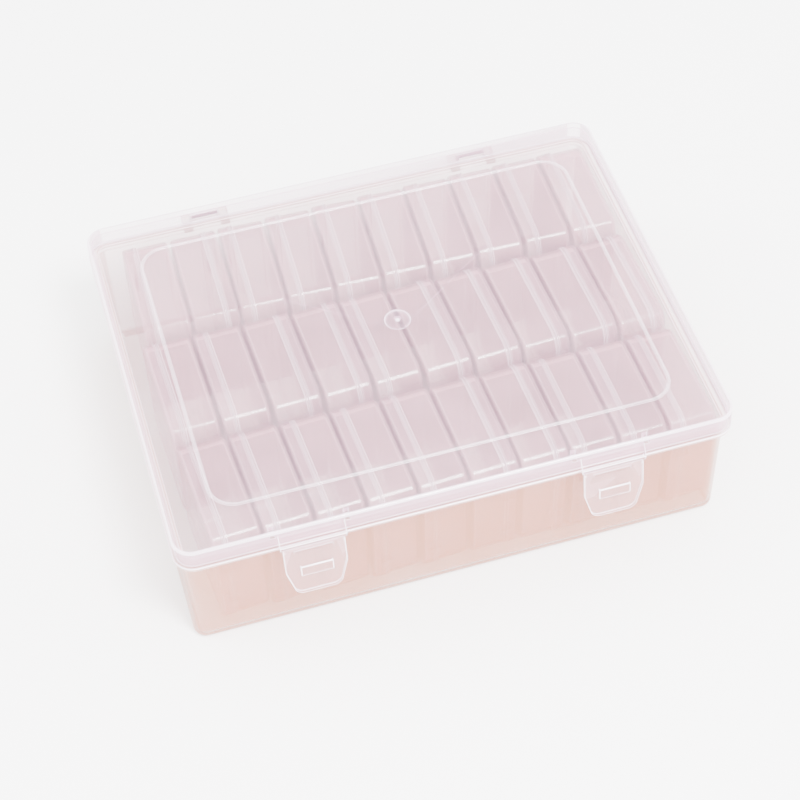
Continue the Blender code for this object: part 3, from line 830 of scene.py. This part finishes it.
class STORAGE_OT_small_boxes(bpy.types.Operator):
    """Build every small clamshell box from its two halves, where its solid stands"""

    bl_idname = "storage.small_boxes"
    bl_label = "Small boxes"

    def execute(self, context):
        sizes = context.scene.small_box_sizes
        looks = context.scene.plastic_looks
        deep_look = plastic("Deep half plastic", looks.deep_tint, looks.box_veil, looks, cloud_scale=60)
        half_look = plastic("Lid half plastic", looks.half_tint, looks.box_veil, looks, cloud_scale=60)
        for node in sorted(frame["nodes"]):
            kind, _, place = node.partition("_")
            if kind != "mini":
                continue
            kind, _, place = place.partition("_")
            if kind == "base":
                bm = self.deep_half(sizes)
                self.add_knuckles(bm, sizes, -1)
                name, look = f"deep_half_{place}", deep_look
            elif kind == "lid":
                bm = self.lid_half(sizes)
                self.add_knuckles(bm, sizes, 1)
                name, look = f"lid_half_{place}", half_look
            else:
                bm = self.deep_half(sizes)
                join_bmesh(bm, self.lid_half(sizes))
                self.add_knuckles(bm, sizes, 0)
                name, look = f"small_box_{place}", deep_look
            mesh = to_mesh(bm, name)
            outward = -1 if kind == "base" else 1
            across, along, upright, face_centre = solid_place(node, outward)
            middle = face_centre - across * outward * sizes.thickness / 2
            turn = Matrix((across, along, upright)).transposed().to_4x4()
            mesh.transform(Matrix.Translation(middle) @ turn)
            add_piece(name, mesh, look, "case", node)
        return {"FINISHED"}

    def shell(self, sizes, profile):
        """A half from its profile, swept lying flat and then turned so that its thickness runs along X."""
        bm = bmesh.new()
        swept(bm, profile, sizes.depth / 2, sizes.height / 2, sizes.corner, steps=8)
        fill(bm, open_loops(bm))
        mark_faces(bm)
        turn = Matrix(((0, 0, 1), (1, 0, 0), (0, 1, 0))).to_4x4()
        bmesh.ops.transform(bm, matrix=turn, verts=bm.verts)
        face_out(bm)
        return bm

    def deep_half(self, sizes):
        """The deep half about the box's middle: one wall with a flange that folds back at the mouth."""
        outer = -sizes.thickness / 2
        mouth = outer + sizes.deep_half
        flange = mouth - sizes.flange
        behind = -sizes.step
        round_edge = sizes.edge_radius
        profile = rounded_profile((
            (behind - sizes.corner * DEEP_CAP_SHARE, outer, 0, 0),
            (behind, outer, sizes.deep_fillet, 0.15),
            (behind, flange, round_edge, 0.5),
            (0, flange, round_edge, 0.8),
            (0, mouth, round_edge, 0.8),
            (behind - sizes.wall, mouth, round_edge, 0.5),
            (behind - sizes.wall, outer + sizes.wall, sizes.deep_fillet / 2, 0.15),
            (behind - sizes.corner * DEEP_CAP_SHARE, outer + sizes.wall, 0, 0),
        ), steps=3, fade=DEEP_FADE)
        return self.shell(sizes, profile)

    def lid_half(self, sizes):
        """The lid half about the box's middle: a shallow cap with a bead along its mouth."""
        outer = sizes.thickness / 2
        mouth = sizes.deep_half + sizes.mouth_gap - sizes.thickness / 2
        bead = mouth + sizes.lid_bead
        round_edge = sizes.edge_radius
        profile = rounded_profile((
            (-sizes.corner * HALF_CAP_SHARE, outer, 0, 0),
            (-sizes.edge_radius, outer, sizes.lid_fillet, 0.15),
            (-sizes.edge_radius, bead, round_edge / 2, 0.6),
            (0, bead - sizes.edge_radius, round_edge / 2, 0.6),
            (0, mouth, round_edge, 0.8),
            (-sizes.wall, mouth, round_edge, 0.5),
            (-sizes.wall, outer - sizes.wall, sizes.lid_fillet / 2, 0.15),
            (-sizes.corner * HALF_CAP_SHARE, outer - sizes.wall, 0, 0),
        ), steps=3, fade=HALF_FADE)
        return self.shell(sizes, profile)

    def add_knuckles(self, bm, sizes, side):
        """Hinge knuckles on the front, on the deep half (-1), the lid half (1) or across both (0)."""
        mouth = sizes.deep_half - sizes.thickness / 2
        lid_mouth = mouth + sizes.mouth_gap
        low_x = lid_mouth if side == 1 else mouth - sizes.knuckle_reach
        high_x = mouth if side == -1 else lid_mouth + sizes.knuckle_reach
        front = -sizes.depth / 2 - sizes.knuckle_stand_out
        root = -sizes.depth / 2 + sizes.step
        for place in (-1, 1):
            low_z = place * sizes.knuckle_place - sizes.knuckle_height / 2
            knuckle = block((low_x, front, low_z), (high_x, root, low_z + sizes.knuckle_height))
            soft_edges(knuckle, sizes.edge_radius, edge=KNUCKLE_EDGE)
            join_bmesh(bm, knuckle)
        if side >= 0:
            tab = block((lid_mouth, sizes.depth / 2 - sizes.wall / 2, -sizes.tab_height / 2),
                        (lid_mouth + sizes.tab_reach, sizes.depth / 2 + sizes.knuckle_stand_out,
                         sizes.tab_height / 2))
            soft_edges(tab, sizes.edge_radius, edge=KNUCKLE_EDGE)
            join_bmesh(bm, tab)


class STORAGE_OT_stage(bpy.types.Operator):
    """Set the floor, the soft lights and the camera"""

    bl_idname = "storage.stage"
    bl_label = "Stage"

    def execute(self, context):
        stage = context.scene.stage_settings
        bm = bmesh.new()
        bmesh.ops.create_grid(bm, x_segments=1, y_segments=1, size=stage.floor_size / 2)
        floor = bpy.data.objects.new("floor", to_mesh(bm, "floor"))
        context.scene.collection.objects.link(floor)
        material = bpy.data.materials.new("Floor")
        material.use_nodes = True
        shader = material.node_tree.nodes["Principled BSDF"]
        shader.inputs["Base Color"].default_value = (*stage.floor_tint, 1)
        shader.inputs["Roughness"].default_value = stage.floor_roughness
        floor.data.materials.append(material)

        world = bpy.data.worlds.new("Studio")
        world.use_nodes = True
        background = world.node_tree.nodes["Background"]
        background.inputs["Color"].default_value = (1, 1, 1, 1)
        background.inputs["Strength"].default_value = stage.sky
        context.scene.world = world
        aim = Vector((stage.aim_right, stage.aim_back, 0))
        self.lamp(context, "key", aim + Vector(stage.key_place), aim, stage.key_size, stage.key)
        self.lamp(context, "side", aim + Vector(stage.fill_place), aim, stage.fill_size, stage.fill)

        data = bpy.data.cameras.new("camera")
        data.lens = stage.lens
        data.sensor_width = stage.sensor
        data.clip_start = stage.near
        camera = bpy.data.objects.new("camera", data)
        context.scene.collection.objects.link(camera)
        level = math.cos(stage.elevation)
        sight = Vector((math.sin(stage.azimuth) * level, math.cos(stage.azimuth) * level,
                        -math.sin(stage.elevation)))
        turn = sight.to_track_quat("-Z", "Y").to_matrix().to_4x4() @ Matrix.Rotation(stage.roll, 4, "Z")
        camera.matrix_world = Matrix.Translation(aim - sight * stage.distance) @ turn
        context.scene.camera = camera
        return {"FINISHED"}

    def lamp(self, context, name, place, aim, size, watts):
        """A square soft lamp at place, turned to aim."""
        data = bpy.data.lights.new(name, "AREA")
        data.size = size
        data.energy = watts
        lamp = bpy.data.objects.new(name, data)
        context.scene.collection.objects.link(lamp)
        turn = (aim - place).to_track_quat("-Z", "Y").to_matrix().to_4x4()
        lamp.matrix_world = Matrix.Translation(place) @ turn


class STORAGE_PT_panel(bpy.types.Panel):
    """The case's operators and sizes in the sidebar"""

    bl_label = "Storage case"
    bl_space_type = "VIEW_3D"
    bl_region_type = "UI"
    bl_category = "Storage case"

    def draw(self, context):
        for operator in OPERATORS:
            self.layout.operator(operator.bl_idname)
        for name in SETTINGS:
            settings = getattr(context.scene, name)
            box = self.layout.box()
            box.label(text=name.replace("_", " ").capitalize())
            for key in settings.__annotations__:
                box.prop(settings, key)


OPERATORS = (STORAGE_OT_case_base, STORAGE_OT_case_lid, STORAGE_OT_latches, STORAGE_OT_small_boxes,
             STORAGE_OT_stage)
SETTINGS = {
    "case_sizes": CaseSizes,
    "hinge_sizes": HingeSizes,
    "latch_sizes": LatchSizes,
    "small_box_sizes": SmallBoxSizes,
    "plastic_looks": PlasticLooks,
    "stage_settings": StageSettings,
}


def register():
    """Register the classes and hang the settings on the scene."""
    for kind in (*SETTINGS.values(), *OPERATORS, STORAGE_PT_panel):
        bpy.utils.register_class(kind)
    for name, kind in SETTINGS.items():
        setattr(bpy.types.Scene, name, bpy.props.PointerProperty(type=kind))


def unregister():
    """Take the settings and the classes away again."""
    for name in SETTINGS:
        delattr(bpy.types.Scene, name)
    for kind in reversed((*SETTINGS.values(), *OPERATORS, STORAGE_PT_panel)):
        bpy.utils.unregister_class(kind)


def main():
    """Build every piece and the stage."""
    register()
    bpy.ops.storage.case_base()
    bpy.ops.storage.case_lid()
    bpy.ops.storage.latches()
    bpy.ops.storage.small_boxes()
    bpy.ops.storage.stage()


if __name__ == "__main__":
    main()
